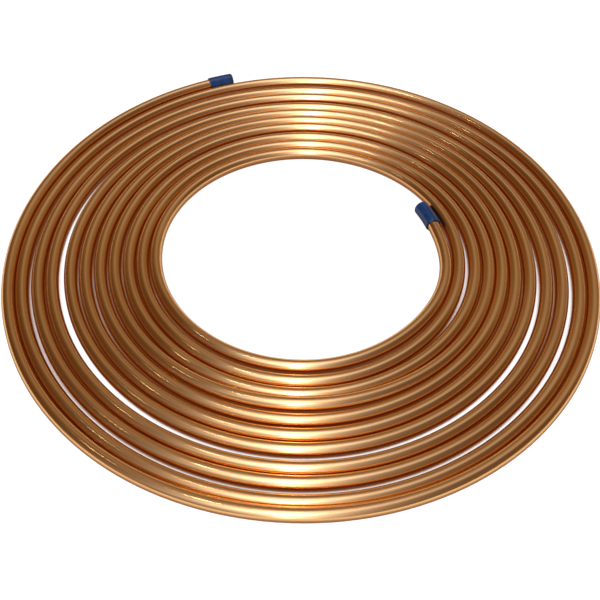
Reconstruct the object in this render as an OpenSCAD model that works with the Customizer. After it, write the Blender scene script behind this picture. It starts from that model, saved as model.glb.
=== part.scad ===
// Flat coil of soft copper tube, both ends closed by push-on plastic caps.
// The tube is one spiral of half turns. Each half turn is a true arc that joins a pass in
// front of the eye to a pass behind it, so every bend is tangent to the next one.
// The coil lies on Z = 0, +Y points to its back, and passes are counted from the eye outwards.

/* [Tube] */
// Outside diameter of the tube
tube_d = 12.7; // [6:0.1:16]
// Thickness of the tube's wall
tube_wall = 0.81; // [0.5:0.01:1.6]

/* [Coil] */
// Diameter of the open eye
eye_d = 287; // [200:1:400]
// Passes of the tube behind the eye; one more runs in front of it
turns = 10; // [3:1:14]
// Plan angle at which the inner end stops, from +X
inner_end_angle = 26; // [-20:1:50]
// Plan angle at which the outer end stops, from +X
outer_end_angle = 108; // [95:1:170]

/* [End caps] */
// Thickness of a cap's wall
cap_wall = 1.6; // [0.8:0.1:4]
// Length of tube that a cap covers
cap_grip = 27; // [12:1:50]
// Thickness of a cap's closed end
cap_end = 3.6; // [3:0.1:8]
// Rounding round a cap's closed end
cap_round = 2.8; // [0.5:0.1:2.9]
// Slack between a cap and the tube in it
cap_clearance = 0.1; // [0.05:0.05:0.4]
// Room between a cap and the turn beside it
cap_side_gap = 0.6; // [0.3:0.1:5]

/* [Hidden] */
$fn = 64;
// Gaps between neighbouring passes as shares of the tube's diameter, from the eye outwards
front_gap_shares = [0.25, 0.05, 0.04, 0.10, 0.16, 0.04, 0.38, 0.06, 0.21, 0.04];
back_gap_shares = [0.14, 0.10, 0.43, 0.04, 0.06, 0.04, 0.49, 0.08, 0.70];
// Steps that the passes' places and the ends' rise are rounded to, so that neighbouring arcs meet exactly
layout_step = 0.02;
rise_step_share = 0.002;

half_turn_sweep = 180;
front_angle = -90;
first_pass_r = (eye_d + tube_d) / 2;
cap_bore_d = tube_d + 2 * cap_clearance;
cap_d = cap_bore_d + 2 * cap_wall;
end_pitch = (tube_d + cap_d) / 2 + cap_side_gap;
cap_lift = (cap_d - tube_d) / 2;

// Sum of a list's first n values, starting over where the list is shorter
function sum_first(list, n) = n <= 0 ? 0 : list[(n - 1) % len(list)] + sum_first(list, n - 1);
function laid_out(r) = round(r / layout_step) * layout_step;
function pass_r(shares, pass) = laid_out(first_pass_r + tube_d * (pass + sum_first(shares, pass)));

// Distance from the coil's middle to the tube's centreline, in front of the eye and behind it.
// The two ends leave their neighbours enough room for a cap: they aim at a pass of their own.
function front_r(pass) = pass_r(front_gap_shares, pass);
function back_r(pass) =
    pass < 0 ? laid_out(pass_r(back_gap_shares, 0) - end_pitch)
    : pass < turns ? pass_r(back_gap_shares, pass)
    : laid_out(pass_r(back_gap_shares, turns - 1) + end_pitch);
function bend_r(front, back) = (front + back) / 2;

inner_front = front_r(0);
inner_back = back_r(-1);
inner_sweep = inner_end_angle - front_angle;
outer_front = front_r(turns);
outer_back = back_r(turns);
outer_sweep = half_turn_sweep - outer_end_angle - front_angle;
// The spiral reaches further to the left than to the right, so it is moved to stand centred
centre_x = (bend_r(outer_front, outer_back) - bend_r(outer_front, back_r(turns - 1))) / 2;

// Angle that a length takes up on a bend
function swept_angle(along, r) = along / r * 180 / PI;
// Slope of an end's plane, which lifts the end by the height that its cap stands below the tube
function end_slope(front, back, sweep) =
    let (r = bend_r(front, back), mouth = sweep - swept_angle(cap_grip, r))
    let (rise_share = cap_lift / (r * (1 - cos(mouth))))
    asin(ceil(rise_share / rise_step_share) * rise_step_share);
inner_slope = end_slope(inner_front, inner_back, inner_sweep);
outer_slope = end_slope(outer_front, outer_back, outer_sweep);

// Frame with its origin at the middle of a bend that starts in front and runs to the right,
// and with +X pointing at the bend's place that lies sweep degrees along it
module on_bend(front, back, sweep, slope) {
    translate([centre_x, -front, tube_d / 2])
        rotate([slope, 0, 0])
            translate([0, bend_r(front, back), 0])
                rotate([0, 0, front_angle + sweep])
                    children();
}

module mirrored_about_middle() {
    translate([centre_x, 0, 0])
        mirror([1, 0, 0])
            translate([-centre_x, 0, 0])
                children();
}

module tube_section() {
    difference() {
        circle(d = tube_d);
        circle(d = tube_d - 2 * tube_wall);
    }
}

// The section is turned by the slope, so that a sloped bend starts on its level neighbour's own circle
module bend(front, back, sweep = half_turn_sweep, slope = 0) {
    on_bend(front, back, 0, slope)
        rotate_extrude(angle = sweep)
            translate([bend_r(front, back), 0])
                rotate(slope)
                    tube_section();
}

module copper_tube() {
    color("peru") {
        bend(inner_front, inner_back, inner_sweep, inner_slope);
        for (pass = [1 : turns])
            bend(front_r(pass), back_r(pass - 1));
        mirrored_about_middle() {
            for (pass = [0 : turns - 1])
                bend(front_r(pass), back_r(pass));
            bend(outer_front, outer_back, outer_sweep, outer_slope);
        }
    }
}

module cap_sleeve_section() {
    difference() {
        circle(d = cap_d);
        circle(d = cap_bore_d);
    }
}

// Half section of the closed end, with its rounded rim
module cap_end_section() {
    square([cap_d / 2, cap_end - cap_round]);
    square([cap_d / 2 - cap_round, cap_end]);
    translate([cap_d / 2 - cap_round, cap_end - cap_round])
        intersection() {
            circle(r = cap_round);
            square(cap_round);
        }
}

// A soft sleeve that follows the tube's bend, and its closed end
module end_cap(front, back, sweep, slope) {
    r = bend_r(front, back);
    color("midnightblue")
        on_bend(front, back, sweep, slope) {
            mirror([0, 1, 0])
                rotate_extrude(angle = swept_angle(cap_grip, r))
                    translate([r, 0])
                        cap_sleeve_section();
            translate([r, 0, 0])
                rotate([front_angle, 0, 0])
                    rotate_extrude()
                        cap_end_section();
        }
}

module inner_end_cap() {
    end_cap(inner_front, inner_back, inner_sweep, inner_slope);
}

module outer_end_cap() {
    mirrored_about_middle()
        end_cap(outer_front, outer_back, outer_sweep, outer_slope);
}

copper_tube();
inner_end_cap();
outer_end_cap();
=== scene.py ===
"""The copper tube coil as it looks: drawn copper tube, two soft caps, a white floor and studio light."""
import math
import bpy
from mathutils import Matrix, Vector


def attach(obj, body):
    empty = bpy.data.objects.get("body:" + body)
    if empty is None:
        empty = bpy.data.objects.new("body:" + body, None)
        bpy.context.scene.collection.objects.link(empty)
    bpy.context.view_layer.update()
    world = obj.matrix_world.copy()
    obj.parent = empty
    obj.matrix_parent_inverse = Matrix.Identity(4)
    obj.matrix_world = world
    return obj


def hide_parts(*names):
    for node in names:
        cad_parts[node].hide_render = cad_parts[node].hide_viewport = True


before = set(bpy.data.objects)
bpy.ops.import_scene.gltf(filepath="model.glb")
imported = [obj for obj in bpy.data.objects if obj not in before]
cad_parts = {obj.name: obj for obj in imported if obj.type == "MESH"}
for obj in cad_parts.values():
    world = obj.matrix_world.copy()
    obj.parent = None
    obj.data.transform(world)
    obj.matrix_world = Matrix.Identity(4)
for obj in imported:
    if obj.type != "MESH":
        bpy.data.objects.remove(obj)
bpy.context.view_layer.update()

MM = 0.001

# Sizes of the tube, the coil and the caps, in millimetres and degrees
TUBE_D = 12.7
TUBE_WALL = 0.81
EYE_D = 287
TURNS = 10
INNER_END_ANGLE = 26
OUTER_END_ANGLE = 108
CAP_WALL = 1.6
CAP_CLEARANCE = 0.1
CAP_GRIP = 27
CAP_END = 3.6
CAP_ROUND = 2.8
CAP_SIDE_GAP = 0.6

# Plan angle of the eye's front from +X, where bends start, and the sweep of a whole bend
FRONT_ANGLE = -90
HALF_TURN = 180

# Sides to which a bend runs from the front
RIGHT = 1
LEFT = -1

TUBE_R = TUBE_D / 2
BORE_R = TUBE_R - TUBE_WALL
CAP_BORE_R = TUBE_R + CAP_CLEARANCE
CAP_R = CAP_BORE_R + CAP_WALL

# Gaps between neighbouring passes as shares of the tube's diameter, from the eye outwards
FRONT_GAP_SHARES = [0.25, 0.05, 0.04, 0.10, 0.16, 0.04, 0.38, 0.06, 0.21, 0.04]
BACK_GAP_SHARES = [0.14, 0.10, 0.43, 0.04, 0.06, 0.04, 0.49, 0.08, 0.70]

# Slopes of the two ends, which rise so that their caps clear the floor
INNER_RISE_SHARE = 0.010
OUTER_RISE_SHARE = 0.004

# Passes that ride up on their neighbours in front of the eye: height, and angle at which they are down again
LIFTS = {3: (3.9, 52.0), 10: (3.4, 60.0)}
LIFT_FULLNESS = 0.8

# How far the turns lie outwards of true arcs, in front and at the coil's sides, from the eye outwards
FRONT_SHIFTS = [0.2, 0.8, 1.0, 0.0, 0.0, 0.0, 0.4, 0.0, -0.3, 0.9, 0.0]
LEFT_SHIFTS = [1.4, -0.5, -0.9, -1.9, -1.1, -0.5, 1.3, 1.0, 1.4, -1.8, -2.5]
RIGHT_SHIFTS = [3.4, 1.3, 2.8, 3.0, 0.2, -0.5, 0.4, 0.8, 0.0, 2.0, -0.9]

# Angles from the front at which the shifts end. A skew above 1 moves a side's widest place to the back.
FRONT_SPAN = 60.0
INNER_END_SPAN = 104.0
OUTER_END_SPAN = 150.0
LEFT_SKEW = 1.3
RIGHT_SKEW = 1.0
FIRST_RIGHT_SKEW = 1.6
INNER_END_SKEW = 2.0

# How the meshes are divided
SIDES = 24
STEP_ANGLE = 2.0
CAP_RIM_STEPS = 7
CAP_BODY_STEPS = 14
CAP_MOUTH_STEPS = 6
CAP_BORE_STEPS = 7
CAP_PATH_PLACES = 40
ROUND = [2 * math.pi * j / SIDES for j in range(SIDES)]

# How the tube's map is laid out: empty edges, and the outside's share of a row's height
MAP_EDGE = 0.01
ROW_EDGE = 0.04
OUTSIDE_SHARE = 0.86


# Path of the tube

def pass_radius(shares, number):
    """Distance from the coil's middle to a pass, counted from the eye outwards."""
    return (EYE_D + TUBE_D) / 2 + TUBE_D * (number + sum(shares[:number]))


front = [pass_radius(FRONT_GAP_SHARES, n) for n in range(TURNS + 1)]
back = [pass_radius(BACK_GAP_SHARES, n) for n in range(TURNS)]

# The two ends aim at passes of their own, which leave their neighbours enough room for a cap
end_pitch = TUBE_R + CAP_R + CAP_SIDE_GAP
inner_back = back[0] - end_pitch
outer_back = back[-1] + end_pitch

# The spiral reaches further to the left than to the right, so it is moved to stand centred
centre_x = (outer_back - back[-1]) / 4


def lift(number, angle):
    """Height by which a pass lies above the floor, by its angle from the front."""
    height, span = LIFTS.get(number, (0.0, 1.0))
    return height * (0.5 + 0.5 * math.cos(math.pi * min(angle / span, 1.0))) ** LIFT_FULLNESS


def stray(number, angle, side_shift, span, skew):
    """Distance by which a pass lies outwards of its arc, by its angle from the front."""
    in_front = FRONT_SHIFTS[number] * math.cos(math.pi / 2 * min(angle / FRONT_SPAN, 1.0)) ** 2
    return in_front + side_shift * math.sin(math.pi * min(angle / span, 1.0) ** skew) ** 2


def bend(number, behind, side, start, stop, side_shift, skew, span=HALF_TURN, rise_share=0.0):
    """Places along a bend between a pass in front of the eye and the radius of a pass behind it.

    The bend runs from its start angle to its stop angle, both counted from the front.
    """
    r = (front[number] + behind) / 2
    level_share = math.sqrt(1 - rise_share ** 2)
    steps = round(abs(stop - start) / STEP_ANGLE)
    path = []
    for i in range(steps + 1):
        angle = start + (stop - start) * i / steps
        reach = r + stray(number, angle, side_shift, span, skew)
        depth = r - reach * math.cos(math.radians(angle))
        path.append(Vector((
            centre_x + side * reach * math.sin(math.radians(angle)),
            depth * level_share - front[number],
            TUBE_R + depth * rise_share + lift(number, angle))))
    return path


def coil_bends():
    """The bends of the whole tube, from its inner end to its outer end."""
    inner_sweep = INNER_END_ANGLE - FRONT_ANGLE
    outer_sweep = HALF_TURN - OUTER_END_ANGLE - FRONT_ANGLE
    bends = [bend(0, inner_back, RIGHT, inner_sweep, 0, RIGHT_SHIFTS[0],
                  INNER_END_SKEW, INNER_END_SPAN, INNER_RISE_SHARE)]
    for n in range(TURNS):
        right_skew = FIRST_RIGHT_SKEW if n == 0 else RIGHT_SKEW
        bends.append(bend(n, back[n], LEFT, 0, HALF_TURN, LEFT_SHIFTS[n], LEFT_SKEW))
        bends.append(bend(n + 1, back[n], RIGHT, HALF_TURN, 0, RIGHT_SHIFTS[n + 1], right_skew))
    bends.append(bend(TURNS, outer_back, LEFT, 0, outer_sweep, LEFT_SHIFTS[TURNS],
                      LEFT_SKEW, OUTER_END_SPAN, OUTER_RISE_SHARE))
    return bends


def ways_ahead(path):
    """Direction of a path at each of its places."""
    last = len(path) - 1
    return [(path[min(i + 1, last)] - path[max(i - 1, 0)]).normalized() for i in range(last + 1)]


def lengths_along(path):
    """Distance along a path from its start to each of its places."""
    lengths = [0.0]
    for place, following in zip(path, path[1:]):
        lengths.append(lengths[-1] + (following - place).length)
    return lengths


# Meshes from rings

def ring(place, ahead, radius):
    """Places round a path, square to the way ahead."""
    level = Vector((ahead.y, -ahead.x, 0)).normalized()
    upright = level.cross(ahead)
    return [place + radius * (level * math.cos(t) + upright * math.sin(t)) for t in ROUND]


def ring_faces(rings, closed, uvs):
    """Faces between rings in a row, and the map's place of each of their corners.

    A ring of one place is a pole. A closed row joins its last ring to its first.
    """
    starts = [0]
    for one in rings:
        starts.append(starts[-1] + len(one))
    faces, corner_uvs = [], []
    for k in range(len(rings) if closed else len(rings) - 1):
        m = (k + 1) % len(rings)
        for j in range(SIDES):
            i = (j + 1) % SIDES
            (u0, v0), (u1, v1) = uvs(k, j), uvs(k, j, 1)
            corners = [(starts[k] + j, u0, v0), (starts[m] + j, u1, v0),
                       (starts[m] + i, u1, v1), (starts[k] + i, u0, v1)]
            if len(rings[k]) == 1:
                corners = [(starts[k], u0, v0), corners[1], corners[2]]
            elif len(rings[m]) == 1:
                corners = [corners[0], (starts[m], u1, v0), corners[3]]
            faces.append([corner[0] for corner in corners])
            corner_uvs.extend(corner[1:] for corner in corners)
    return faces, corner_uvs


def flat_list(rows):
    return [value for row in rows for value in row]


def new_piece(name, rings, closed, uvs, straight_places=None):
    """Smooth mesh from rings joined in a row, with its map and the places that its material goes by."""
    faces, corner_uvs = ring_faces(rings, closed, uvs)
    mesh = bpy.data.meshes.new(name)
    mesh.from_pydata([place * MM for place in flat_list(rings)], [], faces)
    mesh.uv_layers.new(name="OFBake").uv.foreach_set("vector", flat_list(corner_uvs))
    if straight_places:
        attribute = mesh.attributes.new("tube_place", "FLOAT_VECTOR", "POINT")
        attribute.data.foreach_set("vector", flat_list(straight_places))
    mesh.polygons.foreach_set("use_smooth", [True] * len(mesh.polygons))
    mesh.update()
    piece = bpy.data.objects.new(name, mesh)
    bpy.context.collection.objects.link(piece)
    return piece


# Copper tube: one closed skin that runs along the outside and back through the bore

bends = coil_bends()

# Neighbouring bends share a place, and the later one keeps it
tube_path, rows = [], []
for row, one in enumerate(bends):
    kept = one if row == len(bends) - 1 else one[:-1]
    tube_path.extend(kept)
    rows.extend((row, i / (len(one) - 1)) for i in range(len(kept)))


def straight_ring(radius, distance):
    """Places round the tube in metres, as if it were laid out straight."""
    return [(radius * MM * math.cos(t), radius * MM * math.sin(t), distance * MM) for t in ROUND]


def tube_uvs(k, j, nxt=0):
    """Place in the map. Each bend is a row of it, with the tube's outside below its bore."""
    count = len(tube_path)
    is_outside = k < count
    i = k if is_outside else 2 * count - 1 - k
    step = nxt if is_outside else -nxt
    row, share = rows[i]
    if 0 <= i + step < count:
        other_row, other = rows[i + step]
        share = other if other_row == row else (1.0 if step > 0 else 0.0)
    height = (j + nxt) / SIDES
    height = OUTSIDE_SHARE * height if is_outside else OUTSIDE_SHARE + (1 - OUTSIDE_SHARE) * height
    u = MAP_EDGE + (1 - 2 * MAP_EDGE) * share
    v = (row + ROW_EDGE + (1 - 2 * ROW_EDGE) * height) / len(bends)
    return u, v


stations = list(zip(tube_path, ways_ahead(tube_path), lengths_along(tube_path)))
tube_rings, straight_places = [], []
for radius, order in ((TUBE_R, stations), (BORE_R, stations[::-1])):
    for place, ahead, distance in order:
        tube_rings.append(ring(place, ahead, radius))
        straight_places.extend(straight_ring(radius, distance))
tube = new_piece("tube", tube_rings, True, tube_uvs, straight_places)


# Caps: soft sleeves with a rolled mouth and a domed end

def cap_profile():
    """Distance past the tube's end and radius, at places along a cap's half section.

    It runs from the pole of the closed end along the outside, round the mouth and back through the bore.
    """
    flat_r = CAP_R * 0.35
    dome_drop, dome_inset = 0.12, 0.2
    rim_r = CAP_R - CAP_ROUND
    mouth_r = CAP_WALL / 2
    sleeve = CAP_GRIP - mouth_r
    profile = [(CAP_END, 0.0), (CAP_END, flat_r), (CAP_END - dome_drop, rim_r - dome_inset)]
    for i in range(1, CAP_RIM_STEPS + 1):
        t = math.radians(90 - 90 * i / CAP_RIM_STEPS)
        profile.append((CAP_END - CAP_ROUND + CAP_ROUND * math.sin(t), rim_r + CAP_ROUND * math.cos(t)))
    for i in range(1, CAP_BODY_STEPS):
        profile.append((-sleeve * i / CAP_BODY_STEPS, CAP_R))
    for i in range(CAP_MOUTH_STEPS + 1):
        t = math.radians(180 * i / CAP_MOUTH_STEPS)
        profile.append((-sleeve - mouth_r * math.sin(t), CAP_BORE_R + mouth_r + mouth_r * math.cos(t)))
    for i in range(1, CAP_BORE_STEPS + 1):
        profile.append((-sleeve * (1 - i / CAP_BORE_STEPS), CAP_BORE_R))
    profile.append((0.0, 0.0))
    return profile


def path_at(path, lengths, distance):
    """Place and way ahead at a distance along a path, which runs on straight past its end."""
    if distance >= lengths[-1]:
        ahead = (path[-1] - path[-2]).normalized()
        return path[-1] + ahead * (distance - lengths[-1]), ahead
    i = max(k for k in range(len(lengths)) if lengths[k] <= distance)
    ahead = path[i + 1] - path[i]
    share = (distance - lengths[i]) / (lengths[i + 1] - lengths[i])
    return path[i] + ahead * share, ahead.normalized()


def new_cap(name, path):
    """Cap on the end of a path. Its rings run backwards, against the tube's, so they are turned over."""
    lengths = lengths_along(path)
    rings = []
    for distance, radius in cap_profile():
        place, ahead = path_at(path, lengths, lengths[-1] + distance)
        rings.append(ring(place, ahead, radius)[::-1] if radius > 0 else [place])

    def cap_uvs(k, j, nxt=0):
        return ((k + nxt) / (len(rings) - 1), (j + nxt) / SIDES)

    return new_piece(name, rings, False, cap_uvs)


inner_cap = new_cap("inner_cap", tube_path[:CAP_PATH_PLACES][::-1])
outer_cap = new_cap("outer_cap", tube_path[-CAP_PATH_PLACES:])


# Materials

BRIGHT_COPPER = (0.89, 0.505, 0.195, 1)
TARNISHED_COPPER = (0.73, 0.37, 0.125, 1)
COPPER_SPECK = (0.26, 0.11, 0.045, 1)
DARK_VINYL = (0.008, 0.039, 0.112, 1)
LIGHT_VINYL = (0.013, 0.061, 0.160, 1)


def new_material(name):
    material = bpy.data.materials.new(name)
    material.use_nodes = True
    return material, material.node_tree


def feed(tree, socket, value):
    """Link an input to a socket, or set it to a value."""
    if isinstance(value, bpy.types.NodeSocket):
        tree.links.new(value, socket)
    else:
        socket.default_value = value


def add(tree, kind, inputs=None, **settings):
    """New node with its inputs, which are sockets or values, and its settings."""
    node = tree.nodes.new(kind)
    for key, value in settings.items():
        setattr(node, key, value)
    for key, value in (inputs or {}).items():
        feed(tree, node.inputs[key], value)
    return node


def noise(tree, vector, fineness, detail=3.0, roughness=0.55):
    """Noise that is as fine along each axis as its number of cells in a metre."""
    mapping = add(tree, "ShaderNodeMapping", {"Vector": vector, "Scale": fineness})
    made = add(tree, "ShaderNodeTexNoise", {"Vector": mapping.outputs["Vector"], "Scale": 1.0,
                                            "Detail": detail, "Roughness": roughness})
    return made.outputs["Fac"]


def remap(tree, value, low, high, to_low=0.0, to_high=1.0):
    made = add(tree, "ShaderNodeMapRange", {"Value": value, "From Min": low, "From Max": high,
                                            "To Min": to_low, "To Max": to_high})
    return made.outputs["Result"]


def math_node(tree, operation, a, b):
    return add(tree, "ShaderNodeMath", {0: a, 1: b}, operation=operation).outputs["Value"]


def mix_colour(tree, factor, a, b):
    made = add(tree, "ShaderNodeMix", {"Factor": factor}, data_type="RGBA")
    colour_inputs = [socket for socket in made.inputs if socket.type == "RGBA"]
    for socket, value in zip(colour_inputs, (a, b)):
        feed(tree, socket, value)
    return next(socket for socket in made.outputs if socket.type == "RGBA")


def add_bump(tree, shader, strength, distance, height):
    bump = add(tree, "ShaderNodeBump", {"Strength": strength, "Distance": distance, "Height": height})
    tree.links.new(bump.outputs["Normal"], shader.inputs["Normal"])


def copper_material():
    """Drawn copper: streaks and fine lines along the tube, dull patches and small dark specks."""
    material, tree = new_material("drawn_copper")
    shader = tree.nodes["Principled BSDF"]
    place = add(tree, "ShaderNodeAttribute", attribute_name="tube_place").outputs["Vector"]
    streaks = noise(tree, place, (420, 420, 4), 4.0, 0.6)
    lines = noise(tree, place, (1500, 1500, 9), 3.0, 0.6)
    patches = noise(tree, place, (60, 60, 9), 3.0)
    specks = remap(tree, noise(tree, place, (520, 520, 430), 2.0, 0.5), 0.70, 0.78)

    dulled = math_node(tree, "ADD", remap(tree, patches, 0.38, 0.72), remap(tree, streaks, 0.42, 0.70))
    tarnish = math_node(tree, "MULTIPLY", dulled, 0.42)
    colour = mix_colour(tree, tarnish, BRIGHT_COPPER, TARNISHED_COPPER)
    colour = mix_colour(tree, math_node(tree, "MULTIPLY", specks, 0.55), colour, COPPER_SPECK)
    tree.links.new(colour, shader.inputs["Base Color"])
    shader.inputs["Metallic"].default_value = 1.0
    shader.inputs["Anisotropic"].default_value = 0.3
    shader.inputs["Anisotropic Rotation"].default_value = 0.25
    along_tube = add(tree, "ShaderNodeTangent", direction_type="UV_MAP", uv_map="OFBake")
    tree.links.new(along_tube.outputs["Tangent"], shader.inputs["Tangent"])

    streak_roughness = remap(tree, streaks, 0.3, 0.7, 0.14, 0.20)
    patch_roughness = remap(tree, patches, 0.4, 0.7, 0.0, 0.04)
    rough = math_node(tree, "ADD", streak_roughness, patch_roughness)
    rough = math_node(tree, "ADD", rough, math_node(tree, "MULTIPLY", specks, 0.15))
    tree.links.new(rough, shader.inputs["Roughness"])
    height = math_node(tree, "ADD", math_node(tree, "MULTIPLY", lines, 0.5), streaks)
    add_bump(tree, shader, 0.10, 0.00005, height)
    return material


def cap_material():
    """Soft blue vinyl, lightly mottled, with a fine grain."""
    material, tree = new_material("blue_vinyl")
    shader = tree.nodes["Principled BSDF"]
    place = add(tree, "ShaderNodeTexCoord").outputs["Object"]
    mottle = noise(tree, place, (140, 140, 140), 4.0)
    grain = noise(tree, place, (900, 900, 900), 3.0)
    colour = mix_colour(tree, remap(tree, mottle, 0.35, 0.7), DARK_VINYL, LIGHT_VINYL)
    tree.links.new(colour, shader.inputs["Base Color"])
    tree.links.new(remap(tree, mottle, 0.3, 0.7, 0.14, 0.21), shader.inputs["Roughness"])
    add_bump(tree, shader, 0.08, 0.0001, math_node(tree, "ADD", grain, mottle))
    return material


copper = copper_material()
vinyl = cap_material()
for piece, node, slot, material in ((tube, "copper_tube", "copper", copper),
                                    (inner_cap, "inner_end_cap", "cap_plastic", vinyl),
                                    (outer_cap, "outer_end_cap", "cap_plastic", vinyl)):
    piece.data.materials.append(material)
    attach(piece, "root")
    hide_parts(node)


# Floor

FLOOR_HALF = 6.0
FLOOR_GLOW = (0.95, 0.95, 0.95, 1)
FLOOR_PAINT = (0.38, 0.36, 0.32, 1)
# Painted light: copper-tinted glow in narrow gaps, standing in for light bounced off the tube
PAINTED_GAP_BOUNCE_GLOW = (0.26, 0.12, 0.05, 1)
# Painted shade: the floor's glow is this dark red-brown in the crevices between turns that lie close
PAINTED_CREVICE_SHADE_GLOW = (0.11, 0.032, 0.009, 1)
# Painted shade: the floor's own colour turns this dark brown near and between the turns
PAINTED_CREVICE_SHADE_PAINT = (0.14, 0.06, 0.02, 1)


def ray_kinds(tree):
    """Shares of a ray that come from the camera, and from a mirroring or clear surface."""
    ray = add(tree, "ShaderNodeLightPath").outputs
    mirrored = math_node(tree, "MAXIMUM", ray["Is Glossy Ray"], ray["Is Transmission Ray"])
    return ray["Is Camera Ray"], mirrored


def floor_material():
    """White floor that keeps the object's shadow, with painted shade round the coil and between its turns,
    and painted copper-tinted light in narrow gaps.
    """
    material, tree = new_material("white_floor")
    tree.nodes.remove(tree.nodes["Principled BSDF"])
    seen, mirrored = ray_kinds(tree)
    open_share = add(tree, "ShaderNodeAmbientOcclusion", {"Distance": 0.06}, samples=48).outputs["AO"]

    # Camera rays see the white glow only where the floor is open; between close turns it gives way to
    # painted shade
    seen_white = math_node(tree, "MULTIPLY", seen, remap(tree, open_share, 0.175, 0.225))
    # Painted shadow: mirroring rays see the floor near the coil darkened, as a shadow in the tube's
    # reflections
    outside_painted_shadow = math_node(tree, "MULTIPLY", math_node(tree, "POWER", open_share, 16.0), 0.86)
    mirrored_white = math_node(tree, "MULTIPLY", mirrored, outside_painted_shadow)
    white_share = math_node(tree, "MAXIMUM", seen_white, mirrored_white)
    # Painted copper-tinted light in the narrower gaps, fading to painted dark shade in the closest ones
    painted_bounce_share = math_node(tree, "MULTIPLY", seen, remap(tree, open_share, 0.10, 0.18))
    # Painted shade and painted bounce light of the gaps between turns
    shade = mix_colour(tree, painted_bounce_share, PAINTED_CREVICE_SHADE_GLOW, PAINTED_GAP_BOUNCE_GLOW)
    glow_colour = mix_colour(tree, white_share, shade, FLOOR_GLOW)
    glow_strength = math_node(tree, "MAXIMUM", seen, mirrored)
    glow = add(tree, "ShaderNodeEmission", {"Color": glow_colour, "Strength": glow_strength})

    # Painted shade in the floor's own colour, darker where the coil hems the floor in
    floor_paint_with_painted_shade = mix_colour(tree, remap(tree, open_share, 0.16, 0.45), PAINTED_CREVICE_SHADE_PAINT, FLOOR_PAINT)
    diffuse = add(tree, "ShaderNodeBsdfDiffuse", {"Color": floor_paint_with_painted_shade})
    both = add(tree, "ShaderNodeAddShader", {0: diffuse.outputs["BSDF"], 1: glow.outputs["Emission"]})
    tree.links.new(both.outputs["Shader"], tree.nodes["Material Output"].inputs["Surface"])
    return material


floor_mesh = bpy.data.meshes.new("floor")
floor_mesh.from_pydata([(-FLOOR_HALF, -FLOOR_HALF, 0), (FLOOR_HALF, -FLOOR_HALF, 0),
                        (FLOOR_HALF, FLOOR_HALF, 0), (-FLOOR_HALF, FLOOR_HALF, 0)], [], [(0, 1, 2, 3)])
floor = bpy.data.objects.new("floor", floor_mesh)
bpy.context.collection.objects.link(floor)
floor_mesh.materials.append(floor_material())


# Light

LAMP_TINT = (0.93, 1.07, 1.52, 1)
ROOM_IN_FRONT = (0.128, 0.069, 0.027, 1)
ROOM_BEHIND = (0.245, 0.158, 0.070, 1)
WHITE = (1, 1, 1, 1)


def lamp(name, place, diameter, radiance, colour=(1, 1, 1)):
    """Round lamp aimed at the coil's middle, as bright as a surface of that radiance."""
    data = bpy.data.lights.new(name, "AREA")
    data.shape = "DISK"
    data.size = diameter
    data.energy = radiance * math.pi * (math.pi / 4 * diameter ** 2)
    data.color = colour
    made = bpy.data.objects.new(name, data)
    made.location = place
    made.rotation_euler = (-Vector(place)).to_track_quat("-Z", "Y").to_euler()
    made.visible_camera = False
    bpy.context.collection.objects.link(made)


lamp("flash", (-0.035, -0.57, 0.66), 0.08, 36.0, (0.95, 0.95, 1.2))
lamp("left_near", (-0.42, 0.0, 1.55), 0.08, 26.0)
lamp("left_far", (-0.95, 0.04, 1.40), 0.06, 24.0)


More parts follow.
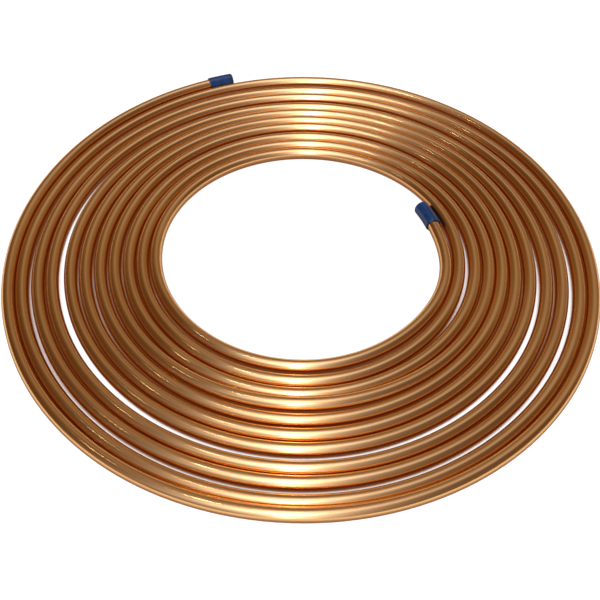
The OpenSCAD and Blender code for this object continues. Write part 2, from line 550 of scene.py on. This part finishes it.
def studio_world():
    """Dim warm room with soft lamps in front and overhead, before a white backdrop.

    A direction is told by its side, from -1 on the left to 1 on the right, and by how far it stands over
    the horizon in front: a quarter turn is overhead, and half a turn is the horizon behind.
    """
    world = bpy.data.worlds.new("studio")
    world.use_nodes = True
    tree = world.node_tree
    direction = add(tree, "ShaderNodeTexCoord").outputs["Generated"]
    way = add(tree, "ShaderNodeSeparateXYZ", {"Vector": direction}).outputs
    side = way["X"]
    over = math_node(tree, "ARCTAN2", way["Z"], math_node(tree, "MULTIPLY", way["Y"], -1.0))

    def slanted(value, other, slant):
        """The value, counted from a line that leans with the other one."""
        return math_node(tree, "SUBTRACT", value, math_node(tree, "MULTIPLY", other, slant))

    def bell(value, middle, width, steepness):
        """1 in the middle, falling off softly on both sides."""
        offset = math_node(tree, "DIVIDE", math_node(tree, "SUBTRACT", value, middle), width)
        spread = math_node(tree, "ADD", math_node(tree, "MULTIPLY", offset, offset), 1.0)
        return math_node(tree, "POWER", spread, -steepness)

    def stretch(rise, fall):
        """1 between two ramps over the horizon in front, which are in degrees."""
        starts = remap(tree, over, math.radians(rise[0]), math.radians(rise[1]))
        stops = remap(tree, over, math.radians(fall[0]), math.radians(fall[1]), 1.0, 0.0)
        return math_node(tree, "MULTIPLY", starts, stops)

    def light(strength, across, along):
        """Lamp of a strength, faded out across it and along it."""
        return math_node(tree, "MULTIPLY", math_node(tree, "MULTIPLY", across, along), strength)

    lamp_overhead = light(2.1, bell(slanted(over, side, 1.05), middle=1.50, width=0.75, steepness=4.0),
                          bell(side, middle=-0.08, width=0.36, steepness=2.0))
    band_in_front = light(1.6, bell(side, middle=-0.035, width=0.15, steepness=1.0),
                          stretch((-15, 20), (50, 95)))
    bright_line = light(3.8, bell(slanted(side, over, 0.046), middle=-0.103, width=0.027, steepness=2.5),
                        stretch((0, 25), (95, 130)))
    haze = light(0.09, bell(side, middle=0.0, width=0.3, steepness=1.5), stretch((-10, 20), (125, 165)))
    strength = haze
    for one in (lamp_overhead, band_in_front, bright_line):
        strength = math_node(tree, "ADD", strength, one)
    lamps = add(tree, "ShaderNodeBackground", {"Color": LAMP_TINT, "Strength": strength})

    behind = math_node(tree, "ADD", way["Y"], math_node(tree, "MULTIPLY", side, 0.3))
    room = tree.nodes["Background"]
    room_colour = mix_colour(tree, remap(tree, behind, 0.2, 0.8), ROOM_IN_FRONT, ROOM_BEHIND)
    tree.links.new(room_colour, room.inputs["Color"])
    lit = add(tree, "ShaderNodeAddShader", {0: room.outputs["Background"], 1: lamps.outputs["Background"]})

    seen, mirrored = ray_kinds(tree)
    near_horizon = remap(tree, way["Z"], 0.10, 0.16, 1.0, 0.0)
    mirrored_white = math_node(tree, "MULTIPLY", mirrored, near_horizon)
    white_share = math_node(tree, "MAXIMUM", seen, mirrored_white)
    backdrop = add(tree, "ShaderNodeBackground", {"Color": WHITE, "Strength": 1.0})
    shown = add(tree, "ShaderNodeMixShader", {0: white_share, 1: lit.outputs["Shader"],
                                              2: backdrop.outputs["Background"]})
    tree.links.new(shown.outputs["Shader"], tree.nodes["World Output"].inputs["Surface"])
    return world


bpy.context.scene.world = studio_world()


# Camera

CAMERA_PLACE = (0.00051, -0.54684, 0.57735)
CAMERA_ELEVATION = 50.23
CAMERA_LENS = 45.81
SENSOR_WIDTH = 36.0

camera_data = bpy.data.cameras.new("camera")
camera_data.lens = CAMERA_LENS
camera_data.sensor_width = SENSOR_WIDTH
camera = bpy.data.objects.new("camera", camera_data)
camera.location = CAMERA_PLACE
camera.rotation_euler = (math.radians(90 - CAMERA_ELEVATION), 0, 0)
bpy.context.collection.objects.link(camera)
bpy.context.scene.camera = camera
bpy.context.scene.view_settings.view_transform = "Standard"
